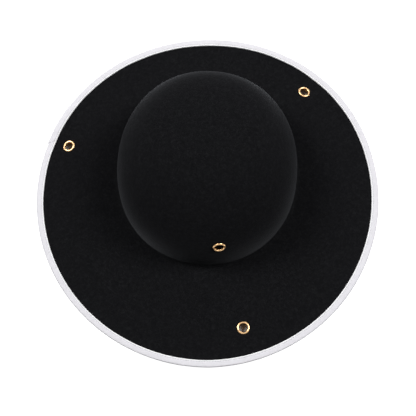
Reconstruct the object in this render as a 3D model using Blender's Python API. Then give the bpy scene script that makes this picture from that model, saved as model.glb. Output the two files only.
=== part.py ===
"""A black felt hat with a round brim, as it is before the brim is laced up to a tricorn.

The felt body is one moulded solid: an oval crown, a small cove at its foot and a brim that
droops a little towards its edge and dips in three low lobes, on which the hat rests.
A tape is folded over the brim's edge, and brass eyelets go through the brim and the crown.

Metres, +Z up, +Y towards the back of the hat, origin on the resting surface under the
middle of the brim.
"""
import math

import bmesh
import bpy
from mathutils import Matrix, Vector

# Brim
BRIM_RADIUS = 0.1800       # middle of the brim to the outer face of the binding
BRIM_DROOP = 0.0058        # mean fall of the brim's edge below the crown's foot
BRIM_WAVE = 0.0017         # rise and fall of the edge about that mean
LIFT_AZIMUTH = -73.0       # one of the three high places of the edge, degrees
LOBES = 3                  # high places round the edge, and as many low ones
DROOP_CURL = 0.5           # 0 for a straight slope, 1 for a slope that is flat at both ends
REST_FLAT = 0.00040        # how far each low lobe is pressed flat by the hat's own weight

# Crown, measured outside
CROWN_HALF_WIDTH = 0.0931
CROWN_HALF_LENGTH = 0.0979
CROWN_HEIGHT = 0.0981      # above the brim's upper face
CROWN_SIDE = -0.0008       # the crown's axis from the brim's middle, across
CROWN_BACK = 0.0193        # and along: the front of the brim is the widest
CROWN_LEAN = 0.0065        # how far the top stands further back than the foot
OVAL_POWER = 2.087         # roundness of the plan: 2 is an ellipse, more is fuller
WALL_POWER = 2.687         # upright wall: more keeps the wall upright for longer
DOME_POWER = 2.418         # shoulder: more makes it squarer
COVE_RADIUS = 0.0044       # hollow curve from the wall to the brim

# Materials' thicknesses
FELT_WALL = 0.0022
TAPE_WALL = 0.0010
TAPE_FLANGE = 0.0076       # visible width of the tape on the brim
TAPE_CORNER = 0.0008       # bevel of the tape's fold, above and below the brim's edge
CLEARANCE = 0.0003         # between pieces that touch

# Eyelets
HOLE_RADIUS = 0.00425      # clear opening
BARREL_WALL = 0.00035
FRONT_RIM_RADIUS = 0.0061
FRONT_RIM_HEIGHT = 0.0010
BACK_RIM_RADIUS = 0.0057
BACK_RIM_HEIGHT = 0.0007
TIP_REACH = 0.0140         # how far round a tipped eyelet the felt is pulled along

# Mesh density
COLUMNS = 72
CROWN_ROWS = 11
COVE_ROWS = 3
BRIM_ROWS = 7
EYELET_SIDES = 18
FINE_COLUMNS = 1.6         # how far the finer squares round an eyelet reach, in columns
FINE_ROWS = 1.3            # and in rows

# name, azimuth about the crown's axis in degrees, share of the brim's width, tip outwards in degrees
BRIM_EYELETS = [
    ("front", -73.0, 0.660, 0.0),
    ("right", 46.0, 0.625, 9.0),
    ("left", 171.5, 0.716, 12.0),
]
# name, azimuth about the crown's axis in degrees, share of the crown's height
CROWN_EYELETS = [
    ("front", -77.6, 0.445),
]

TAPE_STACK = FELT_WALL + CLEARANCE + TAPE_WALL
FOOT_Z = BRIM_DROOP + BRIM_WAVE + TAPE_STACK - REST_FLAT
FELT_EDGE_RADIUS = BRIM_RADIUS - TAPE_WALL - CLEARANCE
CROWN_FOOT = Vector((CROWN_SIDE, CROWN_BACK))


def plan_direction(azimuth):
    """Unit steps across and along at this azimuth, pushed out to the crown's full oval."""
    across = math.cos(azimuth)
    along = math.sin(azimuth)
    fullness = (abs(across) ** OVAL_POWER + abs(along) ** OVAL_POWER) ** (-1.0 / OVAL_POWER)
    return across * fullness, along * fullness


def crown_point(azimuth, share, inset):
    """The crown's skin: share 0 is the top, 1 the start of the cove; inset goes into the felt."""
    height = CROWN_HEIGHT - inset
    foot_angle = math.asin((COVE_RADIUS / height) ** (WALL_POWER / 2.0))
    angle = math.radians(90.0) + (foot_angle - math.radians(90.0)) * share
    rise = math.sin(angle) ** (2.0 / WALL_POWER)
    width = max(math.cos(angle), 0.0) ** (2.0 / DOME_POWER) if share > 0.0 else 0.0
    across, along = plan_direction(azimuth)
    return Vector((
        CROWN_SIDE + (CROWN_HALF_WIDTH - inset) * width * across,
        CROWN_BACK + CROWN_LEAN * rise + (CROWN_HALF_LENGTH - inset) * width * along,
        FOOT_Z + height * rise,
    ))


def cove_point(azimuth, share, inset):
    """The quarter round between wall and brim, whose centre lies outside the felt."""
    angle = math.radians(90.0) * share
    radius = COVE_RADIUS + inset
    reach = COVE_RADIUS - radius * math.cos(angle)
    across, along = plan_direction(azimuth)
    lean = CROWN_LEAN * COVE_RADIUS / CROWN_HEIGHT * (1.0 - share)
    return Vector((
        CROWN_SIDE + (CROWN_HALF_WIDTH + reach) * across,
        CROWN_BACK + lean + (CROWN_HALF_LENGTH + reach) * along,
        FOOT_Z + COVE_RADIUS - radius * math.sin(angle),
    ))


def edge_of_brim(azimuth):
    """Where the line from the crown's axis at this azimuth meets the round felt edge."""
    step = Vector((math.cos(azimuth), math.sin(azimuth)))
    toward = CROWN_FOOT.dot(step)
    reach = -toward + math.sqrt(toward ** 2 - CROWN_FOOT.length_squared + FELT_EDGE_RADIUS ** 2)
    return CROWN_FOOT + step * reach


def foot_of_brim(azimuth):
    across, along = plan_direction(azimuth)
    return CROWN_FOOT + Vector((
        (CROWN_HALF_WIDTH + COVE_RADIUS) * across,
        (CROWN_HALF_LENGTH + COVE_RADIUS) * along,
    ))


def brim_plan(azimuth, share):
    """Place on the brim in plan: share 0 is its foot, 1 the felt's edge."""
    return foot_of_brim(azimuth).lerp(edge_of_brim(azimuth), share)


def eyelet_pull(place):
    """How far the tipped eyelets pull the felt down (or push it up) at this place in plan."""
    pull = 0.0
    for _, degrees, share, tip in BRIM_EYELETS:
        azimuth = math.radians(degrees)
        offset = place - brim_plan(azimuth, share)
        outward = offset.dot(Vector((math.cos(azimuth), math.sin(azimuth))))
        fade = math.exp(-offset.length_squared / TIP_REACH ** 2)
        pull += math.tan(math.radians(tip)) * outward * fade
    return pull


def brim_point(azimuth, share, inset):
    """The brim's skin: it droops along its width, more in the low lobes than in the high ones."""
    edge = edge_of_brim(azimuth)
    around = math.atan2(edge.y, edge.x) - math.radians(LIFT_AZIMUTH)
    droop = BRIM_DROOP - BRIM_WAVE * math.cos(LOBES * around)
    curl = share * share * (3.0 - 2.0 * share)
    fall = droop * ((1.0 - DROOP_CURL) * share + DROOP_CURL * curl)
    place = brim_plan(azimuth, share)
    return Vector((place.x, place.y, FOOT_Z - inset - fall - eyelet_pull(place)))


FELT_STRETCHES = [
    (CROWN_ROWS, lambda azimuth, share: crown_point(azimuth, share, 0.0)),
    (COVE_ROWS, lambda azimuth, share: cove_point(azimuth, share, 0.0)),
    (BRIM_ROWS, lambda azimuth, share: brim_point(azimuth, share, 0.0)),
    (1, lambda azimuth, share: brim_point(azimuth, 1.0, FELT_WALL * share)),
    (BRIM_ROWS, lambda azimuth, share: brim_point(azimuth, 1.0 - share, FELT_WALL)),
    (COVE_ROWS, lambda azimuth, share: cove_point(azimuth, 1.0 - share, FELT_WALL)),
    (CROWN_ROWS, lambda azimuth, share: crown_point(azimuth, 1.0 - share, FELT_WALL)),
]
FELT_ROWS = sum(rows for rows, _ in FELT_STRETCHES)


def felt_skin(azimuth, row):
    """The whole skin of the felt: row 0 is the crown's top outside, the last row is inside."""
    for rows, stretch in FELT_STRETCHES:
        if row <= rows:
            return stretch(azimuth, row / rows)
        row -= rows
    return stretch(azimuth, 1.0)


def new_material(name, colour, roughness, metallic):
    material = bpy.data.materials.new(name)
    material.use_nodes = True
    shader = material.node_tree.nodes["Principled BSDF"]
    shader.inputs["Base Color"].default_value = (*colour, 1.0)
    shader.inputs["Roughness"].default_value = roughness
    shader.inputs["Metallic"].default_value = metallic
    material.diffuse_color = (*colour, 1.0)
    return material


def new_object(name, mesh_builder, material):
    """Finish a bmesh as one closed, outward facing, smooth shaded object."""
    bmesh.ops.remove_doubles(mesh_builder, verts=mesh_builder.verts, dist=1e-6)
    bmesh.ops.recalc_face_normals(mesh_builder, faces=mesh_builder.faces)
    mesh = bpy.data.meshes.new(name)
    mesh_builder.to_mesh(mesh)
    mesh_builder.free()
    mesh.shade_smooth()
    mesh.set_sharp_from_angle(angle=math.radians(40.0))
    mesh.materials.append(material)
    made = bpy.data.objects.new(name, mesh)
    bpy.context.scene.collection.objects.link(made)
    return made


def flat_sheet(columns, rows):
    """A grid whose x counts columns and whose y counts rows, ready to be wrapped."""
    sheet = bmesh.new()
    bmesh.ops.create_grid(sheet, x_segments=columns, y_segments=rows, size=0.5)
    for vertex in sheet.verts:
        vertex.co.x = (vertex.co.x + 0.5) * columns
        vertex.co.y = (vertex.co.y + 0.5) * rows
    return sheet


def wrap(sheet, columns, skin):
    """Carry the flat sheet round the hat: skin takes an azimuth in radians and a row."""
    for vertex in sheet.verts:
        turn = vertex.co.x / columns
        azimuth = math.tau * (0.0 if turn > 1.0 - 1e-6 else turn)
        vertex.co = skin(azimuth, vertex.co.y)


def eyelet_seats():
    """Each eyelet's name, azimuth and row on the outer skin."""
    seats = []
    for name, degrees, share, _ in BRIM_EYELETS:
        row = CROWN_ROWS + COVE_ROWS + BRIM_ROWS * share
        seats.append(("brim_eyelet_" + name, math.radians(degrees), row))
    for name, degrees, height_share in CROWN_EYELETS:
        foot_angle = math.asin((COVE_RADIUS / CROWN_HEIGHT) ** (WALL_POWER / 2.0))
        angle = math.asin(height_share ** (WALL_POWER / 2.0))
        share = (math.radians(90.0) - angle) / (math.radians(90.0) - foot_angle)
        seats.append(("crown_eyelet_" + name, math.radians(degrees), CROWN_ROWS * share))
    return seats


def seat_frame(azimuth, row):
    """Frame on the outer skin: origin on the felt, Z out of it, X level."""
    step = 0.02
    here = felt_skin(azimuth, row)
    around = felt_skin(azimuth + step, row) - felt_skin(azimuth - step, row)
    along = felt_skin(azimuth, row + step) - felt_skin(azimuth, row - step)
    out = along.cross(around).normalized()
    level = around.normalized()
    frame = Matrix((level, out.cross(level), out)).transposed().to_4x4()
    frame.translation = here
    return frame


def refine_round_eyelets(sheet):
    """Halve the sheet's squares round each eyelet, on both faces of the felt."""
    centres = []
    for _, azimuth, row in eyelet_seats():
        column = (azimuth / math.tau % 1.0) * COLUMNS
        centres.append((column, row))
        centres.append((column, FELT_ROWS - row))
    edges = set()
    for face in sheet.faces:
        middle = face.calc_center_median()
        for column, row in centres:
            if abs(middle.x - column) < FINE_COLUMNS and abs(middle.y - row) < FINE_ROWS:
                edges.update(face.edges)
    bmesh.ops.subdivide_edges(sheet, edges=list(edges), cuts=1, use_grid_fill=True)


def cut_eyelet_hole(body, name, frame):
    """A round hole through the felt along the eyelet's axis."""
    cutter_mesh = bmesh.new()
    bmesh.ops.create_cone(
        cutter_mesh, cap_ends=True, segments=EYELET_SIDES,
        radius1=HOLE_RADIUS + BARREL_WALL + CLEARANCE,
        radius2=HOLE_RADIUS + BARREL_WALL + CLEARANCE,
        depth=FELT_WALL * 4.0,
        matrix=frame @ Matrix.Translation((0.0, 0.0, -FELT_WALL / 2.0)),
    )
    mesh = bpy.data.meshes.new(name + "_cutter")
    cutter_mesh.to_mesh(mesh)
    cutter_mesh.free()
    cutter = bpy.data.objects.new(name + "_cutter", mesh)
    bpy.context.scene.collection.objects.link(cutter)
    cutter.hide_render = True
    cutter.display_type = 'WIRE'
    hole = body.modifiers.new(name + "_hole", 'BOOLEAN')
    hole.operation = 'DIFFERENCE'
    hole.solver = 'EXACT'
    hole.object = cutter


def make_felt_body():
    felt = new_material("black_felt", (0.011, 0.011, 0.012), 0.95, 0.0)
    sheet = flat_sheet(COLUMNS, FELT_ROWS)
    refine_round_eyelets(sheet)
    wrap(sheet, COLUMNS, felt_skin)
    body = new_object("felt_body", sheet, felt)
    for name, azimuth, row in eyelet_seats():
        cut_eyelet_hole(body, name, seat_frame(azimuth, row))
    return body


def tape_profile():
    """The folded tape as (distance in from the felt's edge, height over the felt's upper face).

    Out along the upper flange, round the lip, back along the lower flange, then inside.
    """
    top = CLEARANCE + TAPE_WALL
    under = -FELT_WALL - CLEARANCE - TAPE_WALL
    lip = -(CLEARANCE + TAPE_WALL)
    flange = TAPE_FLANGE + lip
    half = 0.5 * flange
    inside = -CLEARANCE
    return [
        (flange, top), (lip + TAPE_CORNER, top),
        (lip, top - TAPE_CORNER), (lip, under + TAPE_CORNER),
        (lip + TAPE_CORNER, under), (half, under), (flange, under),
        (flange, under + TAPE_WALL), (half, under + TAPE_WALL), (inside, under + TAPE_WALL),
        (inside, CLEARANCE), (flange, CLEARANCE),
    ]


def make_brim_binding():
    """The tape follows the brim's edge and is pressed flat where it rests on the surface."""
    tape = new_material("white_tape", (0.80, 0.79, 0.83), 0.75, 0.0)
    profile = tape_profile()

    def skin(azimuth, row):
        inward, lift = profile[round(row) % len(profile)]
        width = (edge_of_brim(azimuth) - foot_of_brim(azimuth)).length
        point = brim_point(azimuth, 1.0 - inward / width, 0.0)
        return Vector((point.x, point.y, max(point.z + lift, 0.0)))

    sheet = flat_sheet(COLUMNS, len(profile))
    wrap(sheet, COLUMNS, skin)
    return new_object("brim_binding", sheet, tape)


def eyelet_profile(hollow):
    """Half section of a set eyelet as (radius, height over the felt's outer face).

    The rims' round backs are drawn with shares of each rim's width and height. hollow is
    how far the back rim stands off the felt's mean inner face, because that face is curved.
    """
    barrel = HOLE_RADIUS + BARREL_WALL
    crest = CLEARANCE + FRONT_RIM_HEIGHT
    back = -FELT_WALL - CLEARANCE - hollow
    foot = back - BACK_RIM_HEIGHT
    rim = FRONT_RIM_RADIUS - barrel
    back_rim = BACK_RIM_RADIUS - barrel
    return [
        (barrel, back), (barrel, CLEARANCE),
        (FRONT_RIM_RADIUS, CLEARANCE), (FRONT_RIM_RADIUS, CLEARANCE + 0.45 * FRONT_RIM_HEIGHT),
        (FRONT_RIM_RADIUS - 0.30 * rim, crest), (barrel + 0.25 * rim, crest),
        (HOLE_RADIUS, CLEARANCE + 0.30 * FRONT_RIM_HEIGHT), (HOLE_RADIUS, foot + 0.5 * BACK_RIM_HEIGHT),
        (barrel + 0.2 * back_rim, foot), (BACK_RIM_RADIUS - 0.25 * back_rim, foot),
        (BACK_RIM_RADIUS, back - 0.4 * BACK_RIM_HEIGHT), (BACK_RIM_RADIUS, back),
    ]


def make_eyelet(name, azimuth, row, brass):
    """A turned ring: rolled rim, barrel through the felt and a flatter rim behind."""
    in_crown = row < CROWN_ROWS
    profile = eyelet_profile(BACK_RIM_RADIUS ** 2 / CROWN_HALF_WIDTH if in_crown else 0.0)

    def skin(turn, place):
        radius, height = profile[round(place) % len(profile)]
        return Vector((radius * math.cos(turn), radius * math.sin(turn), height))

    sheet = flat_sheet(EYELET_SIDES, len(profile))
    wrap(sheet, EYELET_SIDES, skin)
    eyelet = new_object(name, sheet, brass)
    eyelet.matrix_world = seat_frame(azimuth, row)
    return eyelet


def clear_scene():
    for old in list(bpy.data.objects):
        bpy.data.objects.remove(old, do_unlink=True)


def main():
    clear_scene()
    make_felt_body()
    make_brim_binding()
    brass = new_material("brass", (0.78, 0.60, 0.30), 0.25, 1.0)
    for name, azimuth, row in eyelet_seats():
        make_eyelet(name, azimuth, row, brass)


main()
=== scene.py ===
"""Looks of a black felt hat with a bound round brim, as it is before its brim is laced up.

Metres, +Z up, +Y towards the back of the hat, origin on the resting surface under the brim.
"""
import math
from collections import namedtuple

import bpy
import numpy as np
from bpy.props import FloatProperty, FloatVectorProperty, IntProperty, PointerProperty
from mathutils import Euler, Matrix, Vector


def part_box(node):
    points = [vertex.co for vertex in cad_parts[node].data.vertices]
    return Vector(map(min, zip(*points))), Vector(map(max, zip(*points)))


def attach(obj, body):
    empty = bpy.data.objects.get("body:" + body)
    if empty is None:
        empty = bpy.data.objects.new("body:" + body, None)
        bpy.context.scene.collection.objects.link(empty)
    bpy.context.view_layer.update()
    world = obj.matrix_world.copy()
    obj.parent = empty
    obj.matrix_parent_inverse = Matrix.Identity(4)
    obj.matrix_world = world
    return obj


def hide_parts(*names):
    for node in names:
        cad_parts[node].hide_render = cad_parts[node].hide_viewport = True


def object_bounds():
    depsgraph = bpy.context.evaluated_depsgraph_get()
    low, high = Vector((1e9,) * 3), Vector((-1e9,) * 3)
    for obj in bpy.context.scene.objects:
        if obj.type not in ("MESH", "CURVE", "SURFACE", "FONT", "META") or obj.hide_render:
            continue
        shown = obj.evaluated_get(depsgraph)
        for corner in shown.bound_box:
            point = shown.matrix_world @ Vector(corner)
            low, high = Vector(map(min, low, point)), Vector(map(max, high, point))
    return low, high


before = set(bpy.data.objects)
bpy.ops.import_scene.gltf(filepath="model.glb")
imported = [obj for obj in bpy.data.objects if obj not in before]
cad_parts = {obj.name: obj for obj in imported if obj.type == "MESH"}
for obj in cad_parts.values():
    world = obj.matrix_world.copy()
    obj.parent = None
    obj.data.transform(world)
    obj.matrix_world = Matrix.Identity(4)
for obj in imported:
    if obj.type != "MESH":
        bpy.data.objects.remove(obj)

CAD_LOW, CAD_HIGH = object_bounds()

bl_info = {
    "name": "Felt hat with bound brim",
    "version": (1, 0, 0),
    "blender": (4, 5, 0),
    "location": "3D view > Sidebar > Hat",
    "description": "Builds a felt hat with a tape bound brim and brass lacing eyelets",
    "category": "Add Mesh",
}

# Form of the felt, the same as the solids that it replaces
LOBES = 3                            # raised places of the brim, with low ones between them
LIFT_AZIMUTH = math.radians(-73.0)   # of one raised place, about the brim's middle
DROOP_CURL = 0.5                     # share of the droop that curls, the rest being straight
CROWN_SIDE = -0.0008                 # the crown's axis, across from the brim's middle
CROWN_BACK = 0.0193                  # and towards the back
CROWN_LEAN = 0.0065                  # how far its top lies behind its foot
OVAL_POWER = 2.087                   # superellipse power of the crown's plan
WALL_POWER = 2.687                   # of its rise
DOME_POWER = 2.418                   # and of its width
COVE_RADIUS = 0.0044                 # between the crown's wall and the brim
BRIM_DROOP = 0.0058                  # mean fall from the crown's foot to the edge
BRIM_WAVE = 0.0017                   # how much less or more it falls at the lobes
TIP_REACH = 0.0140                   # how far round a tipped eyelet the felt follows it
CLEARANCE = 0.0003                   # between an eyelet and the felt

# Slow waves of hand blocked felt, 30 to 57 mm long: radians a metre across and along, and phase
FELT_WAVES = [(203.0, 61.0, 0.0), (-92.0, 141.0, 1.3), (74.0, 83.0, 4.1)]
WAVE_HEIGHT = 0.00010

# name, where, azimuth about the crown's axis in degrees, share of the brim's width or of the
# crown's height, tip outwards in degrees
EYELETS = [
    ("brim_eyelet_front", "brim", -73.0, 0.660, 0.0),
    ("brim_eyelet_right", "brim", 46.0, 0.625, 9.0),
    ("brim_eyelet_left", "brim", 171.5, 0.716, 12.0),
    ("crown_eyelet_front", "crown", -77.6, 0.445, 0.0),
]

# An eyelet's place on the outer skin, with its axes level, crossing it in the skin, and out
Seat = namedtuple("Seat", "name in_crown place level cross out")


class HatSizes(bpy.types.PropertyGroup):
    """Sizes of the hat's pieces."""

    brim_radius: FloatProperty(
        name="Brim radius", description="Middle of the brim to the outer face of the binding",
        default=(CAD_HIGH.y - CAD_LOW.y) / 2.0, unit='LENGTH')
    crown_half_width: FloatProperty(
        name="Crown half width", description="Outside, across", default=0.0931, unit='LENGTH')
    crown_half_length: FloatProperty(
        name="Crown half length", description="Outside, front to back", default=0.0979,
        unit='LENGTH')
    crown_height: FloatProperty(
        name="Crown height", description="Above the brim's upper face", default=0.0981,
        unit='LENGTH')
    felt_wall: FloatProperty(
        name="Felt thickness", description="Crown and brim alike", default=0.0022,
        unit='LENGTH')
    tape_wall: FloatProperty(
        name="Tape build", description="How far the binding stands off the felt",
        default=0.0013, unit='LENGTH')
    tape_flange: FloatProperty(
        name="Tape width", description="Visible width of the binding on the brim",
        default=0.0076, unit='LENGTH')
    stitch_pitch: FloatProperty(
        name="Stitch length", description="From one needle hole to the next",
        default=0.0027, unit='LENGTH')
    hole_radius: FloatProperty(
        name="Eyelet hole", description="Radius of the clear hole", default=0.00425,
        unit='LENGTH')
    rim_radius: FloatProperty(
        name="Eyelet rim", description="Radius over the front rim", default=0.0065,
        unit='LENGTH')
    columns: IntProperty(
        name="Columns", description="Squares of felt round the hat", default=384, min=24)


class HatColours(bpy.types.PropertyGroup):
    """Colours of the hat and of its stage."""

    felt: FloatVectorProperty(
        name="Felt", description="Wool felt between its fibres", subtype='COLOR',
        default=(0.0060, 0.0061, 0.0068))
    fibre: FloatVectorProperty(
        name="Fibre", description="Wool fibres that catch the light", subtype='COLOR',
        default=(0.0130, 0.0132, 0.0144))
    tape: FloatVectorProperty(
        name="Tape", description="Cotton binding", subtype='COLOR',
        default=(0.755, 0.745, 0.781))
    # The binding's inner edge is painted lighter: a painted highlight where its raised hem catches
    # the light.
    edge_highlight: FloatVectorProperty(
        name="Selvedge", description="Woven edge of the binding", subtype='COLOR',
        default=(0.95, 0.95, 0.96))
    # The thread's grey is painted shade of the groove; the cotton itself is white.
    thread: FloatVectorProperty(
        name="Thread", description="Stitches of the binding", subtype='COLOR',
        default=(0.64, 0.63, 0.67))
    brass: FloatVectorProperty(
        name="Brass", description="Eyelets", subtype='COLOR', default=(0.93, 0.60, 0.31))
    # The floor's own colour is mid grey; its paleness is painted light from its glow outside the
    # brim.
    floor: FloatVectorProperty(
        name="Floor", description="Pale floor", subtype='COLOR', default=(0.45, 0.45, 0.45))


def stack(x, y, z):
    """Three arrays of one or more shapes as one array of points."""
    return np.stack(np.broadcast_arrays(x, y, z), axis=-1)


def unit(vectors):
    """Each vector divided by its length."""
    return vectors / np.linalg.norm(vectors, axis=-1, keepdims=True)


def turns(count):
    """This many angles, evenly round a circle."""
    return np.linspace(0.0, 2.0 * math.pi, count, endpoint=False)


def smooth_step(value):
    """0 below 0, 1 above 1, and 3v^2 - 2v^3 between."""
    value = np.clip(value, 0.0, 1.0)
    return value * value * (3.0 - 2.0 * value)


def oval(azimuth):
    """Unit steps across and along, pushed out by (|cos|^p + |sin|^p)^(-1/p) to an oval."""
    across, along = np.cos(azimuth), np.sin(azimuth)
    power = OVAL_POWER
    fullness = (np.abs(across) ** power + np.abs(along) ** power) ** (-1.0 / power)
    return across * fullness, along * fullness


def foot_angle(height):
    """The dome's angle where its rise is the cove's radius."""
    return math.asin((COVE_RADIUS / height) ** (WALL_POWER / 2.0))


def unevenness(x, y):
    """The felt's slow waves: the sum of its crossing sines."""
    return WAVE_HEIGHT * sum(np.sin(a * x + b * y + phase) for a, b, phase in FELT_WAVES)


class HatShape:
    """The hat's surfaces, as functions of whole arrays. Azimuths are radians about the crown."""

    def __init__(self, sizes):
        self.half_width = sizes.crown_half_width
        self.half_length = sizes.crown_half_length
        self.height = sizes.crown_height
        self.wall = sizes.felt_wall
        self.middle = -sizes.felt_wall / 2.0
        self.edge_radius = sizes.brim_radius - sizes.tape_wall
        felt_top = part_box("felt_body")[1].z
        self.foot_z = felt_top - self.height

    def crown(self, azimuth, share, inset):
        """Dome: rise = sin(a)^(2/wall power), width = cos(a)^(2/dome power), a from 90 degrees."""
        height = self.height - inset
        angle = math.pi / 2.0 + (foot_angle(height) - math.pi / 2.0) * share
        rise = np.sin(angle) ** (2.0 / WALL_POWER)
        width = np.clip(np.cos(angle), 0.0, 1.0) ** (2.0 / DOME_POWER)
        across, along = oval(azimuth)
        x = CROWN_SIDE + (self.half_width - inset) * width * across
        y = CROWN_BACK + CROWN_LEAN * rise + (self.half_length - inset) * width * along
        return stack(x, y, self.foot_z + height * rise + 0.0 * azimuth)

    def cove(self, azimuth, share, inset):
        """Quarter round between wall and brim, about a line outside the felt."""
        angle = math.pi / 2.0 * share
        radius = COVE_RADIUS + inset
        reach = COVE_RADIUS - radius * np.cos(angle)
        across, along = oval(azimuth)
        lean = CROWN_LEAN * COVE_RADIUS / self.height * (1.0 - share)
        x = CROWN_SIDE + (self.half_width + reach) * across
        y = CROWN_BACK + lean + (self.half_length + reach) * along
        return stack(x, y, self.foot_z + COVE_RADIUS - radius * np.sin(angle) + 0.0 * azimuth)

    def edge(self, azimuth):
        """Where the ray from the crown's axis meets the round felt edge."""
        across, along = np.cos(azimuth), np.sin(azimuth)
        toward = CROWN_SIDE * across + CROWN_BACK * along
        square = CROWN_SIDE ** 2 + CROWN_BACK ** 2
        reach = -toward + np.sqrt(toward ** 2 - square + self.edge_radius ** 2)
        return CROWN_SIDE + across * reach, CROWN_BACK + along * reach

    def azimuth_of_edge(self, turn):
        """Azimuth about the crown's axis of the edge place at this turn about the brim."""
        x = self.edge_radius * np.cos(turn) - CROWN_SIDE
        y = self.edge_radius * np.sin(turn) - CROWN_BACK
        return np.arctan2(y, x)

    def once_round(self):
        """Length of the felt's edge."""
        return 2.0 * math.pi * self.edge_radius

    def brim_foot(self, azimuth):
        """Where the cove runs out into the brim: the crown's oval, wider by the cove."""
        across, along = oval(azimuth)
        x = CROWN_SIDE + (self.half_width + COVE_RADIUS) * across
        y = CROWN_BACK + (self.half_length + COVE_RADIUS) * along
        return x, y

    def brim_plan(self, azimuth, share):
        """Place in plan, straight from the crown's foot to the edge."""
        foot_x, foot_y = self.brim_foot(azimuth)
        edge_x, edge_y = self.edge(azimuth)
        return foot_x + (edge_x - foot_x) * share, foot_y + (edge_y - foot_y) * share

    def brim_width(self, azimuth):
        """Distance from the crown's foot to the edge."""
        foot_x, foot_y = self.brim_foot(azimuth)
        edge_x, edge_y = self.edge(azimuth)
        return np.hypot(edge_x - foot_x, edge_y - foot_y)

    def brim(self, azimuth, share, inset):
        """Straight in plan from the crown's foot to the edge, drooping and lobed in height."""
        x, y = self.brim_plan(azimuth, share)
        edge_x, edge_y = self.edge(azimuth)
        around = np.arctan2(edge_y, edge_x) - LIFT_AZIMUTH
        droop = BRIM_DROOP - BRIM_WAVE * np.cos(LOBES * around)
        fall = droop * ((1.0 - DROOP_CURL) * share + DROOP_CURL * smooth_step(share))
        pull = self.pull(x, y)
        return stack(x, y, self.foot_z - inset - fall - pull + unevenness(x, y) * share)

    def pull(self, x, y):
        """Slope times offset, faded by a bell, where a tipped eyelet draws the felt down."""
        total = 0.0 * (x + y)
        for _, where, degrees, share, tip in EYELETS:
            if where != "brim":
                continue
            azimuth = math.radians(degrees)
            seat_x, seat_y = self.brim_plan(azimuth, share)
            off_x = x - seat_x
            off_y = y - seat_y
            outward = off_x * math.cos(azimuth) + off_y * math.sin(azimuth)
            fade = np.exp(-(off_x ** 2 + off_y ** 2) / TIP_REACH ** 2)
            total = total + math.tan(math.radians(tip)) * outward * fade
        return total

    def seats(self):
        """Where each eyelet sits, with its axes from steps along the skin."""
        found = []
        step = 1e-3
        for name, where, degrees, share, _ in EYELETS:
            azimuth = math.radians(degrees)
            skin = self.brim
            if where == "crown":
                skin = self.crown
                foot = foot_angle(self.height)
                angle = math.asin(share ** (WALL_POWER / 2.0))
                share = (math.pi / 2.0 - angle) / (math.pi / 2.0 - foot)
            place = skin(azimuth, share, 0.0)
            around = skin(azimuth + step, share, 0.0) - skin(azimuth - step, share, 0.0)
            along = skin(azimuth, share + step, 0.0) - skin(azimuth, share - step, 0.0)
            out = unit(np.cross(along, around))
            level = unit(around)
            cross = np.cross(out, level)
            found.append(Seat(name, where == "crown", place, level, cross, out))
        return found


def circle_about(seat, turn):
    """Unit steps round the eyelet's axis: cos(turn) level + sin(turn) cross."""
    return np.cos(turn)[:, None] * seat.level + np.sin(turn)[:, None] * seat.cross


# Meshes

CURVE_STEPS = 3001                   # places at which a curve's length is summed


def even_shares(curve, count):
    """count + 1 shares that cut the curve into equal lengths, read back from its summed steps."""
    shares = np.linspace(0.0, 1.0, CURVE_STEPS)
    steps = np.linalg.norm(np.diff(curve(shares), axis=0), axis=1)
    reach = np.concatenate([[0.0], np.cumsum(steps)])
    return np.interp(np.linspace(0.0, reach[-1], count + 1), reach, shares)


def grid_quads(rows, columns, first=0):
    """Corners of the squares of a grid of this many rows, each closed round."""
    down = np.arange(rows - 1)[:, None]
    over = np.arange(columns)[None, :]
    here = first + down * columns + over
    beside = first + down * columns + (over + 1) % columns
    return np.stack([here, here + columns, beside + columns, beside], axis=-1).reshape(-1, 4)


def fan(centre, first, count, flip=False):
    """Triangles from a centre point to the sides of a closed ring of points."""
    over = first + np.arange(count)
    beside = first + (np.arange(count) + 1) % count
    if flip:
        over, beside = beside, over
    return np.stack([np.full(count, centre), over, beside], axis=-1)


def mesh_of(name, points, quads, triangles=None):
    """A mesh from arrays of points, squares and triangles."""
    mesh = bpy.data.meshes.new(name)
    groups = [quads] if triangles is None else [quads, triangles]
    corners = np.concatenate([group.reshape(-1) for group in groups])
    sizes = np.concatenate([np.full(len(group), group.shape[1]) for group in groups])
    starts = np.concatenate([[0], np.cumsum(sizes)[:-1]])
    mesh.vertices.add(len(points))
    mesh.vertices.foreach_set("co", np.asarray(points, np.float32).reshape(-1))
    mesh.loops.add(len(corners))
    mesh.loops.foreach_set("vertex_index", corners.astype(np.int32))
    mesh.polygons.add(len(sizes))
    mesh.polygons.foreach_set("loop_start", starts.astype(np.int32))
    mesh.update(calc_edges=True)
    mesh.validate()
    return mesh


def add_uv(mesh, per_point):
    """Gives each corner its point's (u, v)."""
    layer = mesh.uv_layers.new(name="UVMap")
    corner = np.empty(len(mesh.loops), np.int32)
    mesh.loops.foreach_get("vertex_index", corner)
    layer.data.foreach_set("uv", per_point[corner].astype(np.float32).reshape(-1))


def add_piece(name, mesh, material, replaced, sharp_degrees=40.0):
    """Shows the mesh as a piece of the hat that rides on its body, and hides the solids it
    replaces, if any.
    """
    mesh.shade_smooth()
    mesh.set_sharp_from_angle(angle=math.radians(sharp_degrees))
    mesh.materials.clear()
    mesh.materials.append(material)
    piece = bpy.data.objects.new(name, mesh)
    bpy.context.scene.collection.objects.link(piece)
    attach(piece, "root")
    if replaced:
        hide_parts(*replaced)
    return piece


# Felt body

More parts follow.
